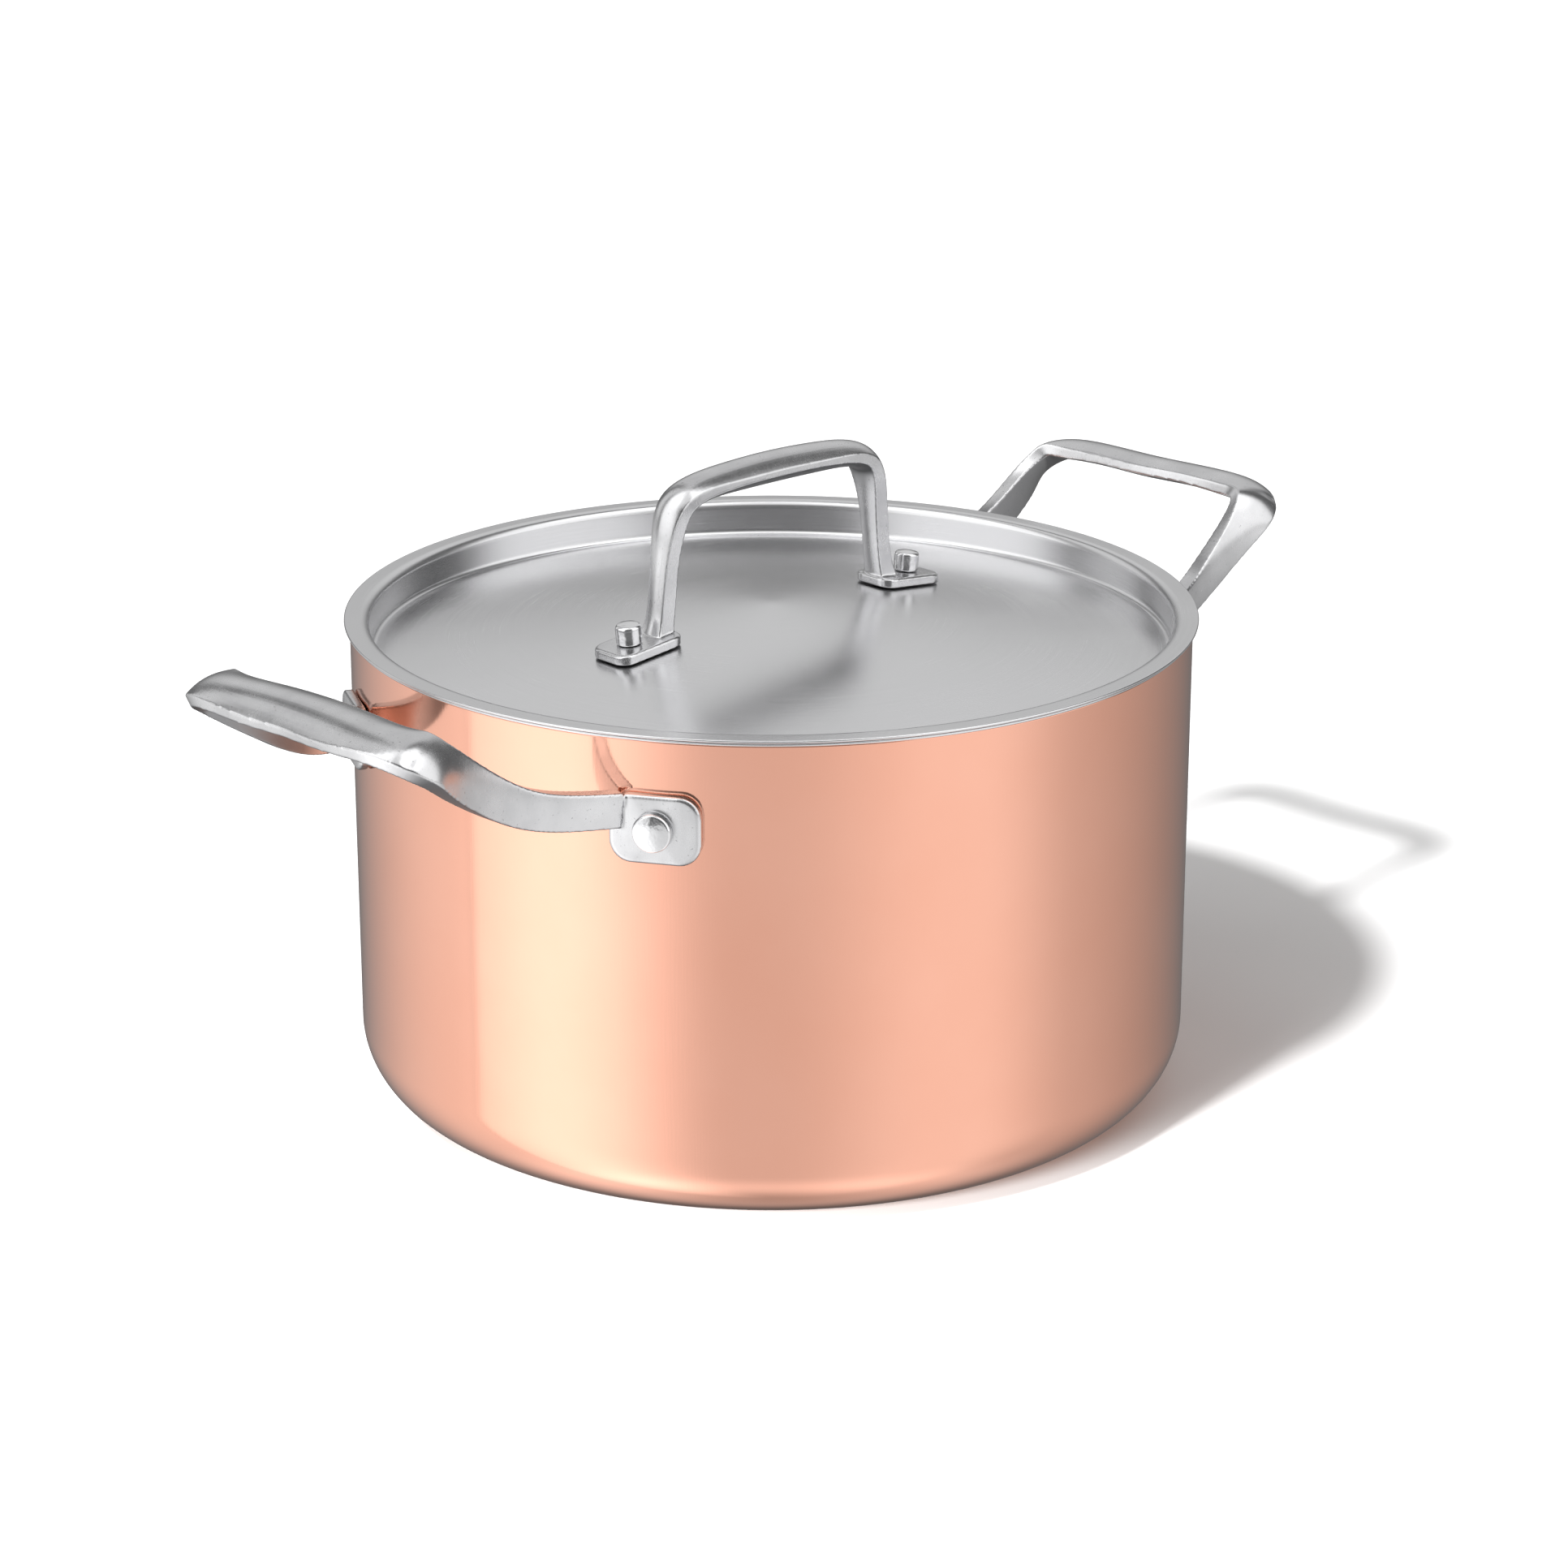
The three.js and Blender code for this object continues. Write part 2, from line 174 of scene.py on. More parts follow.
def turned(name, profile, steps=TURN_STEPS):
    """A closed solid of revolution from a profile that starts and ends on the axis."""
    profile = held(profile)
    rings = profile[1:-1]
    vertices = [(0, 0, profile[0][1]), (0, 0, profile[-1][1])]
    for radius, height in rings:
        for i in range(steps):
            turn = 2 * math.pi * i / steps
            vertices.append((radius * math.cos(turn), radius * math.sin(turn), height))
    faces = []
    last = 2 + (len(rings) - 1) * steps
    for i in range(steps):
        j = (i + 1) % steps
        faces.append((0, 2 + j, 2 + i))
        faces.append((1, last + i, last + j))
        for ring in range(len(rings) - 1):
            start = 2 + ring * steps
            faces.append((start + i, start + j, start + steps + j, start + steps + i))
    return new_piece(name, vertices, faces)


def held(points, bevel=0.12, hold=0.3):
    """Bevels a profile's sharp corners, and adds points that keep the shading flat beside them."""
    out = [points[0]]
    for before, here, after in zip(points, points[1:], points[2:]):
        here = np.array(here)
        ways = here - before, after - here
        lengths = [np.linalg.norm(way) for way in ways]
        turn = math.degrees(math.acos(np.clip(np.dot(*ways) / (lengths[0] * lengths[1]), -1, 1)))
        steps = (-hold, -bevel, bevel, hold)
        if turn < SHARP_CORNER:
            steps = (0,)
            if lengths[0] > 3 * lengths[1]:
                steps = (-lengths[1], 0)
            elif lengths[1] > 3 * lengths[0]:
                steps = (0, lengths[0])
        for step in steps:
            side = 0 if step < 0 else 1
            reach = math.copysign(min(abs(step), 0.45 * lengths[side]), step)
            out.append(tuple(here + reach / lengths[side] * ways[side]))
    out.append(points[-1])
    return out


# ---- the pot ------------------------------------------------------------------------------


def pot_surface(depth, top):
    """The pot's surface at a depth into its wall, from the middle of the base up to a height."""
    centre = (POT_RADIUS - CORNER_RADIUS, CORNER_RADIUS)
    base = [(centre[0] * share, depth) for share in (0, 0.25, 0.5, 0.75, 0.95)]
    corner = arc(centre, CORNER_RADIUS - depth, -90, 0, 24)
    wall = np.linspace(CORNER_RADIUS, top, 10)[1:]
    return base + corner + [(POT_RADIUS - depth, height) for height in wall]


def copper_shell():
    outside = pot_surface(0, COPPER_TOP)
    inside = pot_surface(COPPER, COPPER_TOP)[::-1]
    return turned("copper_skin", outside + inside)


def steel_liner():
    edge = LIP_THICKNESS / 2
    outside = pot_surface(LINER_DEPTH, LIP_TOP - LIP_THICKNESS)
    lip = arc((LIP_RADIUS - edge, LIP_TOP - edge), edge, -90, 90, 8)
    bend_middle = (POT_RADIUS - WALL + LIP_BEND, LIP_TOP - LIP_BEND)
    bend = arc(bend_middle, LIP_BEND, 90, 180, 6)
    inside = pot_surface(WALL, LIP_TOP - LIP_BEND)[::-1]
    return turned("liner_inside", outside + lip + bend[:-1] + inside)


# ---- rivets -------------------------------------------------------------------------------


def rivet_profile(rivet, grip, shoulder, crown):
    """A headed rivet along the axis: the outer head stands on height 0."""
    head = rivet["head"] / 2
    tall = rivet["tall"]
    inner = rivet["inner"] / 2
    shank = rivet["shank"] / 2
    bottom = -grip - rivet["inner_tall"]
    inner_rim, inner_dish, foot_bevel, swell = 0.35, 0.5, 0.3, 0.02
    inner_face = [(inner * share, bottom + inner_dish * share**3) for share in (0, 0.3, 0.6, 0.85)]
    side_top = tall - shoulder - crown
    top = [
        (share * (head - shoulder), tall - crown * share**2)
        for share in (0.9, 0.75, 0.6, 0.45, 0.3, 0.15, 0)
    ]
    return (
        inner_face
        + [(inner, -grip - inner_rim), (inner, -grip), (shank, -grip), (shank, 0)]
        + [(head - foot_bevel, 0), (head, foot_bevel), (head + swell, side_top * 0.6)]
        + arc((head - shoulder, side_top), shoulder, 0, 84, 7)
        + top
    )


def stand_on_wall(piece, distance, degrees):
    """Points a piece made along +Z straight out of the pot's wall."""
    turn = math.radians(degrees)
    piece.rotation_euler = (0, math.pi / 2, turn)
    piece.location = (
        MM * distance * math.cos(turn),
        MM * distance * math.sin(turn),
        MM * PAD_HEIGHT,
    )
    settle(piece)


def settle(piece):
    """Puts an object's place into its mesh, and its origin back at zero."""
    bpy.context.view_layer.update()
    piece.data.transform(piece.matrix_world)
    piece.location = (0, 0, 0)
    piece.rotation_euler = (0, 0, 0)
    piece.scale = (1, 1, 1)


def pot_rivet(name, degrees):
    """A rivet through one of the side handles' pads and the pot's wall."""
    seat = POT_RADIUS + PAD_GAP + PAD_SIZE[2] + RIVET_GAP
    inner_wall = POT_RADIUS - WALL - FACET_SAG
    inner_seat = math.sqrt(inner_wall**2 - (POT_RIVET["inner"] / 2) ** 2) - RIVET_GAP
    profile = rivet_profile(POT_RIVET, seat - inner_seat, shoulder=0.9, crown=0.55)
    piece = turned(name, profile, 64)
    stand_on_wall(piece, seat, degrees)
    return piece


# ---- bars ---------------------------------------------------------------------------------


def spline(values, places):
    """A natural cubic spline through evenly spaced rows of values, read at some places."""
    values = np.asarray(values, float)
    count = len(values)
    system = np.eye(count)
    second = np.zeros_like(values)
    for i in range(1, count - 1):
        system[i, i - 1 : i + 2] = (1, 4, 1)
        second[i] = 6 * (values[i + 1] - 2 * values[i] + values[i - 1])
    second = np.linalg.solve(system, second)
    index = np.clip(np.floor(places).astype(int), 0, count - 2)
    b = (places - index)[:, None]
    a = 1 - b
    bend = ((a**3 - a) * second[index] + (b**3 - b) * second[index + 1]) / 6
    return a * values[index] + b * values[index + 1] + bend


def bar_outline(width, thickness, crown, belly):
    """Points round a bar's section: x along its width, y from the outer face to the inner."""

    def edge(start, end):
        return [(start[0], start[1] + (end[1] - start[1]) * share) for share in (0.25, 0.5, 0.75)]

    across = np.linspace(-1, 1, 15)
    outer = [(x * width / 2, -thickness / 2 + crown * x * x) for x in across]
    inner = [(x * width / 2, thickness / 2 - belly * x * x) for x in across[::-1]]
    return outer + edge(outer[-1], inner[0]) + inner + edge(inner[-1], outer[0])


def bar(name, half, mirror_axis, width_direction):
    """A closed bar through the half stations and their mirror images."""
    mirrored = []
    for station in half[-2::-1]:
        at = list(station["at"])
        at[mirror_axis] *= -1
        mirrored.append({**station, "at": tuple(at)})
    stations = half + mirrored
    places = np.linspace(0, len(stations) - 1, BAR_RINGS)
    centres = spline([s["at"] for s in stations], places)
    sizes = spline([(*s["size"], s["crown"], s["belly"]) for s in stations], places)
    rolls = spline([[s["roll"]] for s in stations], places)[:, 0]
    along = np.gradient(centres, axis=0)
    vertices = []
    for centre, way, size, roll in zip(centres, along, sizes, rolls):
        way = Vector(way).normalized()
        across = width_direction(way, roll)
        through = way.cross(across).normalized()
        for x, y in bar_outline(*size):
            vertices.append(tuple(Vector(centre) + across * x + through * y))
    count = len(bar_outline(*sizes[0]))
    return new_piece(name, vertices, tube_faces(count, BAR_RINGS))


def rolled(way, roll):
    """The width's direction on a side handle, from the bar's direction and its roll."""
    level = way.cross(Vector((0, 0, 1))).normalized()
    upright = level.cross(way)
    turn = math.radians(roll)
    return upright * math.cos(turn) + level * math.sin(turn)


def level_width(way, roll):
    """The width's direction on the lid's handle: always sideways."""
    return Vector((0, 1, 0))


def rounded_outline(length, width, corner, steps=8):
    """Points (x, y) round an oblong with rounded corners."""
    x, y = length / 2 - corner, width / 2 - corner
    points = []
    for cx, cy, start in ((x, -y, -90), (x, y, 0), (-x, y, 90), (-x, -y, 180)):
        points += arc((cx, cy), corner, start, start + 90, steps)
    return points


def plate(name, outline, put, thickness, edge=0.5):
    """A closed plate with soft edges: `put` takes a point (x, y, raised) to where it belongs."""
    sides = [(1 - edge / 12, 0), (1, edge * 0.6), (1, thickness - edge), (1 - edge / 7, thickness)]
    under = [(share, 0) for share in (0.2, 0.4, 0.6, 0.8)]
    over = [(share, thickness) for share in (0.8, 0.6, 0.4, 0.2)]
    loops = under + sides + over
    vertices = []
    for share, height in loops:
        vertices += [put(x * share, y * share, height) for x, y in outline]
    return new_piece(name, vertices, tube_faces(len(outline), len(loops)))


def fused(name, pieces, voxel):
    """One cast piece: the given solids melted together, with soft fillets where they meet."""
    bpy.ops.object.select_all(action="DESELECT")
    for piece in pieces:
        piece.select_set(True)
    bpy.context.view_layer.objects.active = pieces[0]
    bpy.ops.object.join()
    whole = bpy.context.view_layer.objects.active
    whole.name = name
    remesh = whole.modifiers.new("melt", "REMESH")
    remesh.mode = "VOXEL"
    remesh.voxel_size = voxel * MM
    soften = whole.modifiers.new("soften", "SMOOTH")
    soften.iterations = SOFTENING
    soften.factor = 0.5
    graph = bpy.context.evaluated_depsgraph_get()
    mesh = bpy.data.meshes.new_from_object(whole.evaluated_get(graph))
    whole.modifiers.clear()
    whole.data = mesh
    mesh.name = name
    mesh.shade_smooth()
    return whole


# ---- side handles -------------------------------------------------------------------------


def pad(name, degrees):
    """The plate at the end of a side handle's arm, curved to the pot's wall."""
    length, height, thickness = PAD_SIZE
    inner = POT_RADIUS + PAD_GAP

    def on_wall(x, y, raised):
        turn = math.radians(degrees) + x / (inner + thickness / 2)
        radius = inner + raised
        return (radius * math.cos(turn), radius * math.sin(turn), PAD_HEIGHT + y)

    return plate(name, rounded_outline(length, height, PAD_CORNER), on_wall, thickness)


def press_creases(piece):
    """Presses the fold where each arm turns into the grip, deepest at the outer edge."""
    spread = CREASE["spread"]
    shallower = 0.75  # at the far end of the fold
    for side in (1, -1):
        mirror = np.array((1, side, 1))
        start = mirror * CREASE["from"]
        way = mirror * CREASE["to"] - start
        inward = Vector((-0.6, -side * 0.4, -0.55)).normalized()
        for vertex in piece.data.vertices:
            offset = np.array(vertex.co) / MM - start
            share = min(max(offset @ way / (way @ way), 0), 1)
            gap = np.linalg.norm(offset - share * way)
            if gap < 3 * spread:
                depth = CREASE["depth"] * (1 - shallower * share) * math.exp(-((gap / spread) ** 2))
                vertex.co += inward * (depth * MM)


def side_handle(name, facing):
    parts = [
        bar(name + "_bar", SIDE_BAR, 1, rolled),
        pad(name + "_pad_a", PAD_ANGLE),
        pad(name + "_pad_b", -PAD_ANGLE),
    ]
    piece = fused(name, parts, SIDE_VOXEL)
    press_creases(piece)
    piece.rotation_euler = (0, 0, math.radians(facing))
    settle(piece)
    return piece


# ---- lid ----------------------------------------------------------------------------------

RECESS_FOOT = FLANGE_TOP - RECESS_DEPTH
DOME_REACH = RECESS_RADIUS - BEND_RADIUS


def dome(radius):
    """Height of the top of the disc."""
    return DOME_TOP - (DOME_TOP - RECESS_FOOT) * (radius / DOME_REACH) ** DOME_POWER


def lid_sheet():
    """The whole lid in one sheet: disc, upright wall and flange."""
    reach = np.linspace(0, DOME_REACH, 40)
    outer = BEND_RADIUS + SHEET
    low_bend = (DOME_REACH, RECESS_FOOT + BEND_RADIUS)
    low_start = -72  # degrees: where the disc runs into the bend
    high_bend = (RECESS_RADIUS + outer, FLANGE_TOP - outer)
    under = [(r, dome(r) - SHEET) for r in reach]
    under += arc(low_bend, outer, low_start, 0, 6)
    under += arc(high_bend, BEND_RADIUS, 180, 90, 6)
    edge = arc((FLANGE_RADIUS - HEM_RADIUS, FLANGE_TOP - SHEET / 2), HEM_RADIUS, -90, 90, 8)
    top = arc(high_bend, outer, 90, 180, 8)
    top += arc(low_bend, BEND_RADIUS, 0, low_start, 6)
    top += [(r, dome(r)) for r in reach[::-1]]
    return turned("lid_sheet", under + edge + top)


def foot(name, side):
    """The plate at one end of the lid's handle, which follows the disc."""
    middle = (FOOT["inner"] + FOOT["outer"]) / 2

    def on_disc(x, y, raised):
        out = middle + x
        return (side * out, side * y, dome(math.hypot(out, y)) + FOOT["gap"] + raised)

    outline = rounded_outline(FOOT["outer"] - FOOT["inner"], FOOT["width"], FOOT["corner"])
    return plate(name, outline, on_disc, FOOT["thickness"])


def lid_handle():
    parts = [
        bar("lid_bridge_bar", LID_BAR, 0, level_width),
        foot("lid_bridge_foot_a", 1),
        foot("lid_bridge_foot_b", -1),
    ]
    piece = fused("lid_bridge", parts, LID_VOXEL)
    piece.rotation_euler = (0, 0, math.radians(LID_TURN))
    settle(piece)
    return piece


def lid_rivet(name, facing):
    """A rivet through one of the lid handle's feet and the disc, square to the disc's slope."""
    slope = math.atan(dome(RIVET_DISTANCE) - dome(RIVET_DISTANCE + 1))
    grip = 2 * RIVET_GAP + FOOT["thickness"] + FOOT["gap"] + SHEET + DISC_DROP
    piece = turned(name, rivet_profile(LID_RIVET, grip, shoulder=1.1, crown=0.4), 48)
    piece.rotation_euler = (0, slope, 0)
    height = dome(RIVET_DISTANCE) + FOOT["gap"] + FOOT["thickness"] + RIVET_GAP
    piece.location = (MM * RIVET_DISTANCE, 0, MM * height)
    settle(piece)
    piece.rotation_euler = (0, 0, math.radians(facing + LID_TURN))
    settle(piece)
    return piece


# ---- materials ----------------------------------------------------------------------------


class Nodes:
    """Short names for building a node tree."""

    def __init__(self, tree):
        self.tree = tree
        tree.nodes.clear()

    def add(self, kind, **settings):
        node = self.tree.nodes.new(kind)
        for key, value in settings.items():
            setattr(node, key, value)
        return node

    def link(self, source, target):
        self.tree.links.new(source, target)

    def math(self, operation, first, second=None):
        node = self.add("ShaderNodeMath", operation=operation)
        for socket, value in zip(node.inputs, (first, second)):
            if value is None:
                continue
            if isinstance(value, (int, float)):
                socket.default_value = value
            else:
                self.link(value, socket)
        return node.outputs[0]

    def noise(self, vector, scale, detail=3.0, rough=0.5):
        node = self.add("ShaderNodeTexNoise")
        node.inputs["Scale"].default_value = scale
        node.inputs["Detail"].default_value = detail
        node.inputs["Roughness"].default_value = rough
        self.link(vector, node.inputs["Vector"])
        return node.outputs["Fac"]

    def span(self, value, low, high, to_low, to_high, smooth=False):
        node = self.add("ShaderNodeMapRange")
        node.interpolation_type = "SMOOTHSTEP" if smooth else "LINEAR"
        for name, number in (
            ("From Min", low),
            ("From Max", high),
            ("To Min", to_low),
            ("To Max", to_high),
        ):
            node.inputs[name].default_value = number
        self.link(value, node.inputs["Value"])
        return node.outputs["Result"]

    def mix(self, share, first, second):
        node = self.add("ShaderNodeMix", data_type="RGBA")
        self.link(share, node.inputs[0])
        for socket, value in ((node.inputs[6], first), (node.inputs[7], second)):
            if isinstance(value, tuple):
                socket.default_value = (*value, 1)
            else:
                self.link(value, socket)
        return node.outputs[2]

    def times(self, first, second):
        return self.math("MULTIPLY", first, second)

    def plus(self, first, second):
        return self.math("ADD", first, second)

    def split(self, vector):
        node = self.add("ShaderNodeSeparateXYZ")
        self.link(vector, node.inputs[0])
        return node.outputs

    def vector(self, x, y, z):
        node = self.add("ShaderNodeCombineXYZ")
        for socket, value in zip(node.inputs, (x, y, z)):
            if isinstance(value, (int, float)):
                socket.default_value = value
            else:
                self.link(value, socket)
        return node.outputs[0]


def metal(name, colour):
    """A metal material, its node helper and its shader."""
    material = bpy.data.materials.new(name)
    material.use_nodes = True
    nodes = Nodes(material.node_tree)
    shader = nodes.add("ShaderNodeBsdfPrincipled")
    shader.inputs["Metallic"].default_value = 1.0
    shader.inputs["Base Color"].default_value = (*colour, 1)
    output = nodes.add("ShaderNodeOutputMaterial")
    nodes.link(shader.outputs[0], output.inputs[0])
    return material, nodes, shader


def place(nodes):
    """Position on the object, in metres."""
    return nodes.add("ShaderNodeTexCoord").outputs["Object"]


def bump(nodes, shader, height, strength, distance):
    """Small relief on a shader's surface."""
    node = nodes.add("ShaderNodeBump")
    node.inputs["Strength"].default_value = strength
    node.inputs["Distance"].default_value = distance
    nodes.link(height, node.inputs["Height"])
    nodes.link(node.outputs[0], shader.inputs["Normal"])


def copper_material():
    """Polished copper: a near mirror with faint upright polishing lines and slight tarnish."""
    clean = (0.9, 0.475, 0.35)
    tarnished = (0.88, 0.45, 0.325)
    smoothest = 0.055
    material, nodes, shader = metal("polished_copper", clean)
    position = place(nodes)
    x, y, z = nodes.split(position)
    angle = nodes.math("ARCTAN2", y, x)
    drawn_out = nodes.vector(nodes.times(angle, 26), nodes.times(z, 5), 0)
    lines = nodes.noise(drawn_out, 9, 4, 0.6)
    cloud = nodes.noise(position, 22, 4)
    tone = nodes.mix(nodes.span(cloud, 0.35, 0.7, 0, 1), clean, tarnished)
    nodes.link(tone, shader.inputs["Base Color"])
    wear = nodes.plus(nodes.times(cloud, 0.05), nodes.times(lines, 0.05))
    nodes.link(nodes.plus(wear, smoothest), shader.inputs["Roughness"])
    bump(nodes, shader, lines, 0.02, 0.0004)
    return material


def brushed_round(name, colour, rough, fine, anisotropy):
    """Steel brushed in circles round the pot's axis, with `fine` lines to the metre."""
    material, nodes, shader = metal(name, colour)
    position = place(nodes)
    x, y, z = nodes.split(position)
    distance = nodes.math("SQRT", nodes.plus(nodes.times(x, x), nodes.times(y, y)))
    angle = nodes.math("ARCTAN2", y, x)
    track = nodes.vector(nodes.times(nodes.plus(distance, z), fine), nodes.times(angle, 1.2), 0)
    lines = nodes.noise(track, 1, 5, 0.7)
    cloud = nodes.noise(position, 30, 3)
    shade = nodes.plus(nodes.times(lines, 0.6), nodes.times(cloud, 0.4))
    dark = tuple(0.93 * c for c in colour)
    tone = nodes.mix(nodes.span(shade, 0.35, 0.65, 0, 1), dark, colour)
    nodes.link(tone, shader.inputs["Base Color"])
    wear = nodes.span(shade, 0.3, 0.7, rough - 0.04, rough + 0.05)
    nodes.link(wear, shader.inputs["Roughness"])
    shader.inputs["Anisotropic"].default_value = anisotropy
    tangent = nodes.add("ShaderNodeTangent", direction_type="RADIAL", axis="Z")
    nodes.link(tangent.outputs[0], shader.inputs["Tangent"])
    bump(nodes, shader, lines, 0.06, 0.0002)
    return material


def painted_shade_share(nodes, position):
    """How much painted shade a handle gets: underneath, and on inner sides that don't look up."""
    x, y, z = nodes.split(position)
    normal = nodes.split(nodes.add("ShaderNodeNewGeometry").outputs["Normal"])
    inward = nodes.times(nodes.times(normal[1], nodes.math("SIGN", y)), -1)
    beyond_pads = nodes.span(nodes.math("ABSOLUTE", x), 0.128, 0.14, 0, 1)
    not_upward = nodes.span(normal[2], 0.0, 0.3, 1, 0)
    inside = nodes.times(nodes.span(inward, 0.25, 0.65, 0, 1), nodes.times(beyond_pads, not_upward))
    under = nodes.span(normal[2], -0.62, -0.2, 1, 0)
    return nodes.math("MAXIMUM", nodes.times(inside, 0.75), under)


def cast_steel_material():
    """Satin cast steel, with painted shade underneath and on inner sides, which are also left
    rougher.
    """
    dim = (0.6, 0.6, 0.61)
    clear = (0.72, 0.72, 0.73)
    # painted shade: the near-black colour put on a handle's undersides and inner sides
    painted_shade_colour = (0.1, 0.1, 0.105)
    pit = (0.16, 0.16, 0.165)
    material, nodes, shader = metal("satin_cast_steel", dim)
    position = place(nodes)
    stretched = nodes.add("ShaderNodeMapping")
    stretched.inputs["Scale"].default_value = (1, 1, 0.2)
    nodes.link(position, stretched.inputs["Vector"])
    grain = nodes.noise(stretched.outputs[0], 1500, 4, 0.6)
    cloud = nodes.noise(position, 90, 4)
    pits = nodes.span(nodes.noise(position, 1300, 2), 0.69, 0.73, 0, 1)
    painted_shade = painted_shade_share(nodes, position)
    tone = nodes.mix(nodes.span(cloud, 0.3, 0.7, 0, 1), dim, clear)
    # painted shade darkens the undersides and inner sides
    tone = nodes.mix(nodes.times(painted_shade, 0.88), tone, painted_shade_colour)
    tone = nodes.mix(nodes.times(pits, 0.4), tone, pit)
    nodes.link(tone, shader.inputs["Base Color"])
    polish = nodes.span(nodes.plus(grain, cloud), 0.7, 1.3, 0.22, 0.29)
    # the painted shade's mask also makes those places rougher
    nodes.link(nodes.plus(polish, nodes.times(painted_shade, 0.2)), shader.inputs["Roughness"])
    height = nodes.math("SUBTRACT", nodes.plus(nodes.times(grain, 0.6), cloud), pits)
    bump(nodes, shader, height, 0.06, 0.0002)
    return material


def rivet_material():
    """Bright steel, with the small dents of heading."""
    material, nodes, shader = metal("bright_rivet_steel", (0.78, 0.78, 0.79))
    dents = nodes.noise(place(nodes), 420, 2)
    nodes.link(nodes.span(dents, 0.3, 0.7, 0.13, 0.24), shader.inputs["Roughness"])
    bump(nodes, shader, dents, 0.25, 0.0005)
    return material


def core_material():
    """Plain rolled aluminium."""
    material, nodes, shader = metal("rolled_aluminium", (0.72, 0.73, 0.75))
    cloud = nodes.noise(place(nodes), 90, 4)
    nodes.link(nodes.span(cloud, 0.3, 0.7, 0.4, 0.55), shader.inputs["Roughness"])
    return material


# ---- studio -------------------------------------------------------------------------------

CAMERA_AZIMUTH = -46.0  # degrees from the front of the pot, towards its left handle
CAMERA_OUT = 1.1701  # metres from the pot's axis
CAMERA_UP = 0.4907
CAMERA_PITCH = 19.01  # degrees below level
CAMERA_PAN = 0.175
CAMERA_LENS = 98.1  # millimetres
SENSOR = 36.0

KEY_TURN = 38.0  # degrees to the left of the camera
KEY_HEIGHT = 50.0  # degrees above the horizon
KEY_SOFTNESS = 6.0  # degrees across
KEY_STRENGTH = 6.0  # watts per square metre
FILL_TURN = 20.0  # degrees to the left of the camera
FILL_OUT = 0.36
FILL_UP = 0.08
FILL_SIZE = 0.12
FILL_WATTS = 4.5
FLOOR_REACH = 6.0
FLOOR_DROP = 0.0002  # keeps the floor clear of the pot's resting face

# The studio's soft panels. `turn` is in degrees from the camera, positive to its right, and
# `height` in degrees above the horizon: where a panel starts, is full, stops being full, ends.
# One with no `turn` goes all the way round.
ROOM = 0.12
LOW = (-92, -60, -8, 0)
HIGH = (-6, 4, 90, 95)
PANELS = [
    {"name": "low front", "turn": (-90, -87, 60, 190), "height": LOW, "glow": 0.69},
    {"name": "low left edge", "turn": (-90, -87, -60, -8), "height": LOW, "glow": 0.5},
    {"name": "low left", "turn": (-100, -62, -60, -14), "height": LOW, "glow": 0.47},
    {"name": "low right", "turn": (0, 46, 56, 92), "height": LOW, "glow": 0.27},
    {"name": "low rear left", "turn": (-185, -92, -91, -87), "height": LOW, "glow": 0.92},
    {"name": "left", "turn": (-100, -92, -38, -26), "height": HIGH, "glow": 1.3},
    {"name": "right", "turn": (28, 40, 92, 106), "height": HIGH, "glow": 1.2},
    {"name": "rear left", "turn": (-142, -136, -114, -106), "height": HIGH, "glow": 0.7},
    {"name": "rear", "turn": (130, 150, 200, 214), "height": (-2, 26, 90, 95), "glow": 0.62},
    {"name": "overhead", "turn": (-110, -60, 60, 110), "height": (33, 56, 90, 95), "glow": 0.8},
    {"name": "table", "turn": None, "height": (-95, -91, -75, -45), "glow": 0.38},
]


def camera():
    data = bpy.data.cameras.new("camera")
    data.lens = CAMERA_LENS
    data.sensor_width = SENSOR
    data.clip_end = 30
    eye = bpy.data.objects.new("camera", data)
    turn = math.radians(CAMERA_AZIMUTH)
    eye.location = (CAMERA_OUT * math.sin(turn), -CAMERA_OUT * math.cos(turn), CAMERA_UP)
    heading = math.radians(CAMERA_AZIMUTH - CAMERA_PAN)
    eye.rotation_euler = (math.radians(90 - CAMERA_PITCH), 0, heading)
    bpy.context.scene.collection.objects.link(eye)
    bpy.context.scene.camera = eye


def floor():
    """A plain pale floor, which the metal doesn't reflect."""
    side = FLOOR_REACH / MM
    corners = [(-side, -side, 0), (side, -side, 0), (side, side, 0), (-side, side, 0)]
    piece = new_piece("floor", corners, [(0, 1, 2, 3)], smooth=False)
    piece.location.z = -FLOOR_DROP
    material = bpy.data.materials.new("pale_floor")
    material.use_nodes = True
    shader = material.node_tree.nodes["Principled BSDF"]
    shader.inputs["Base Color"].default_value = (0.55, 0.55, 0.55, 1)
    shader.inputs["Roughness"].default_value = 0.9
    shader.inputs["Specular IOR Level"].default_value = 0.0
    piece.data.materials.append(material)
    piece.visible_glossy = False


def key_light():
    """One soft lamp, up to the left of the camera, that throws the shadow right and to the rear."""
    data = bpy.data.lights.new("key", "SUN")
    data.angle = math.radians(KEY_SOFTNESS)
    data.energy = KEY_STRENGTH
    light = bpy.data.objects.new("key", data)
    heading = math.radians(CAMERA_AZIMUTH - KEY_TURN)
    light.rotation_euler = (math.radians(90 - KEY_HEIGHT), 0, heading)
    light.location = (0, 0, 1)
    light.visible_glossy = False
    bpy.context.scene.collection.objects.link(light)


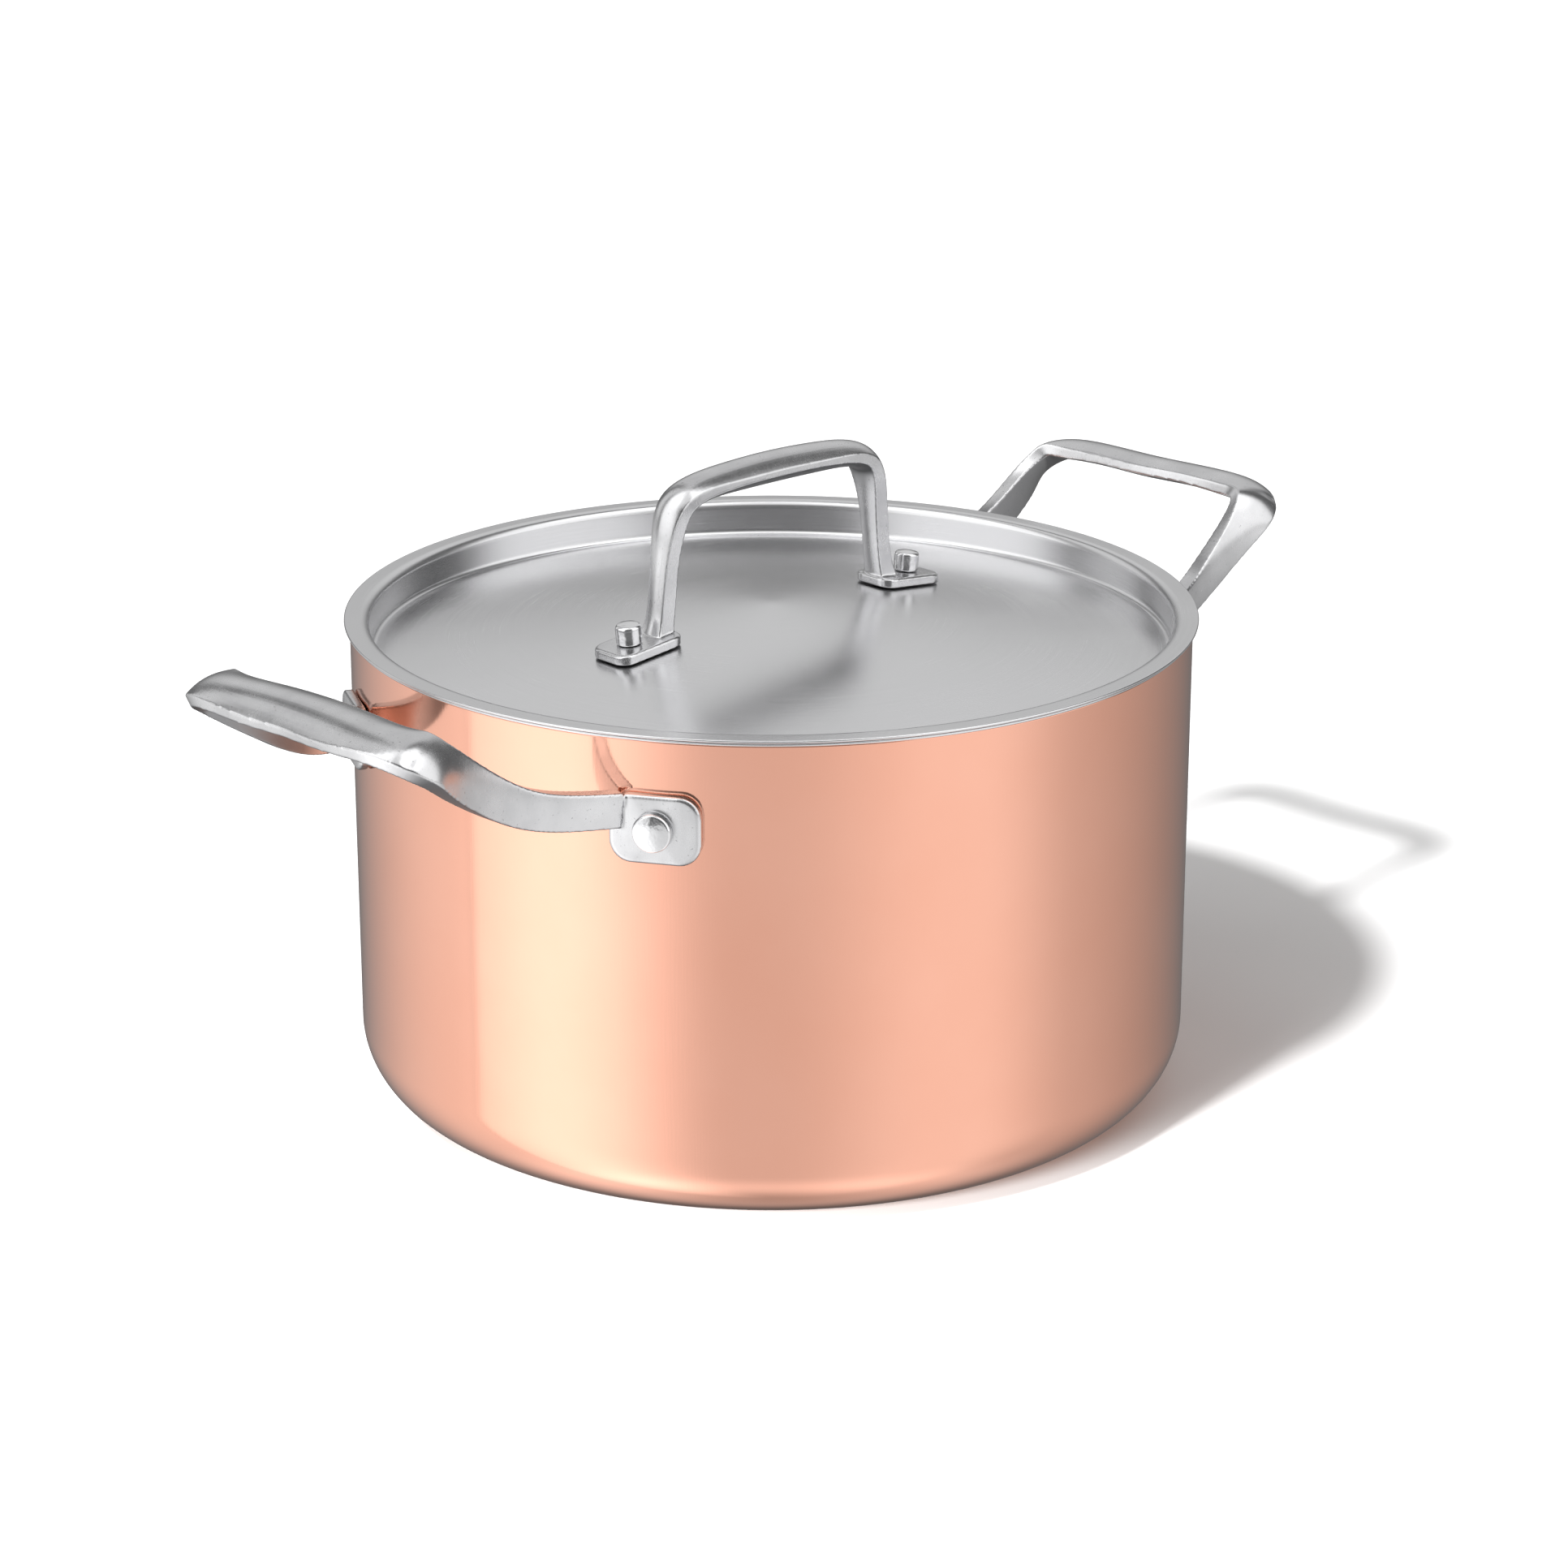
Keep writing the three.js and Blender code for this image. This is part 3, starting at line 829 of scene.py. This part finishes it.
def fill_light():
    """A small low lamp in front, that keeps the floor bright right up to the base."""
    data = bpy.data.lights.new("fill", "AREA")
    data.shape = "DISK"
    data.size = FILL_SIZE
    data.energy = FILL_WATTS
    light = bpy.data.objects.new("fill", data)
    turn = math.radians(CAMERA_AZIMUTH - FILL_TURN)
    light.location = (FILL_OUT * math.sin(turn), -FILL_OUT * math.cos(turn), FILL_UP)
    base = Vector((light.location.x, light.location.y, 0)).normalized() * (MM * POT_RADIUS)
    light.rotation_euler = (base - light.location).to_track_quat("-Z", "Y").to_euler()
    light.visible_glossy = False
    light.visible_camera = False
    bpy.context.scene.collection.objects.link(light)


def window(nodes, value, edges):
    """1 between the two inner edges, fading to 0 at the two outer ones."""
    start, full, stop, end = edges
    rise = nodes.span(value, start, full, 0, 1, smooth=True)
    fall = nodes.span(value, stop, end, 1, 0, smooth=True)
    return nodes.times(rise, fall)


def panel_light(nodes, turn, height, panel):
    """The light of one soft panel."""
    light = nodes.times(window(nodes, height, panel["height"]), panel["glow"])
    if panel["turn"]:
        start = panel["turn"][0]
        from_start = nodes.math("FLOORED_MODULO", nodes.math("SUBTRACT", turn, start), 360)
        across = window(nodes, from_start, [edge - start for edge in panel["turn"]])
        light = nodes.times(light, across)
    return light


def surroundings():
    """A dim room with soft panels round the pot, which the camera sees as plain white."""
    world = bpy.data.worlds.new("studio")
    bpy.context.scene.world = world
    world.use_nodes = True
    nodes = Nodes(world.node_tree)
    x, y, z = nodes.split(nodes.add("ShaderNodeTexCoord").outputs["Generated"])
    to_degrees = math.degrees(1)
    heading = nodes.times(nodes.math("ARCTAN2", y, x), to_degrees)
    turn = nodes.math("SUBTRACT", heading, CAMERA_AZIMUTH - 90)
    height = nodes.times(nodes.math("ARCSINE", z), to_degrees)
    light = ROOM
    for panel in PANELS:
        light = nodes.plus(panel_light(nodes, turn, height, panel), light)
    seen = nodes.add("ShaderNodeLightPath").outputs["Is Camera Ray"]
    hidden = nodes.math("SUBTRACT", 1, seen)
    background = nodes.add("ShaderNodeBackground")
    background.inputs["Color"].default_value = (1, 1, 1, 1)
    strength = nodes.plus(nodes.times(light, hidden), seen)
    nodes.link(strength, background.inputs["Strength"])
    output = nodes.add("ShaderNodeOutputWorld")
    nodes.link(background.outputs[0], output.inputs[0])


# ---- assembly -----------------------------------------------------------------------------


def finish_piece(piece, node, body, material):
    """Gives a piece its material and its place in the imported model."""
    piece.data.materials.clear()
    piece.data.materials.append(material)
    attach(piece, body)
    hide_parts(node)


def build_pot(cast, bright):
    """The pot's plies, handles and rivets. The core is hidden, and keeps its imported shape."""
    finish_piece(copper_shell(), "copper_shell", "pot", copper_material())
    liner = brushed_round("brushed_liner_steel", (0.74, 0.74, 0.75), 0.24, 2600, 0.4)
    finish_piece(steel_liner(), "steel_liner", "pot", liner)
    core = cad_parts["aluminium_core"]
    core.data.materials.clear()
    core.data.materials.append(core_material())
    for name, facing in (("left", 180), ("right", 0)):
        handle = side_handle("cast_handle_" + name, facing)
        finish_piece(handle, "side_handle_" + name, "pot", cast)
    for corner, degrees in (
        ("left_front", 180 + PAD_ANGLE),
        ("left_rear", 180 - PAD_ANGLE),
        ("right_front", -PAD_ANGLE),
        ("right_rear", PAD_ANGLE),
    ):
        rivet = pot_rivet("headed_rivet_" + corner, degrees)
        finish_piece(rivet, "pot_rivet_" + corner, "pot", bright)


def build_lid(cast, bright):
    """The lid's sheet, handle and rivets."""
    spun = brushed_round("spun_lid_steel", (0.76, 0.76, 0.77), 0.24, 3200, 0.5)
    finish_piece(lid_sheet(), "lid_disc", "lid", spun)
    finish_piece(lid_handle(), "lid_handle", "lid", cast)
    for name, facing in (("left", 180), ("right", 0)):
        rivet = lid_rivet("lid_stud_" + name, facing)
        finish_piece(rivet, "lid_rivet_" + name, "lid", bright)


bpy.context.scene.view_settings.view_transform = "Standard"
camera()
floor()
key_light()
fill_light()
surroundings()
cast_steel = cast_steel_material()
rivet_steel = rivet_material()
build_pot(cast_steel, rivet_steel)
build_lid(cast_steel, rivet_steel)
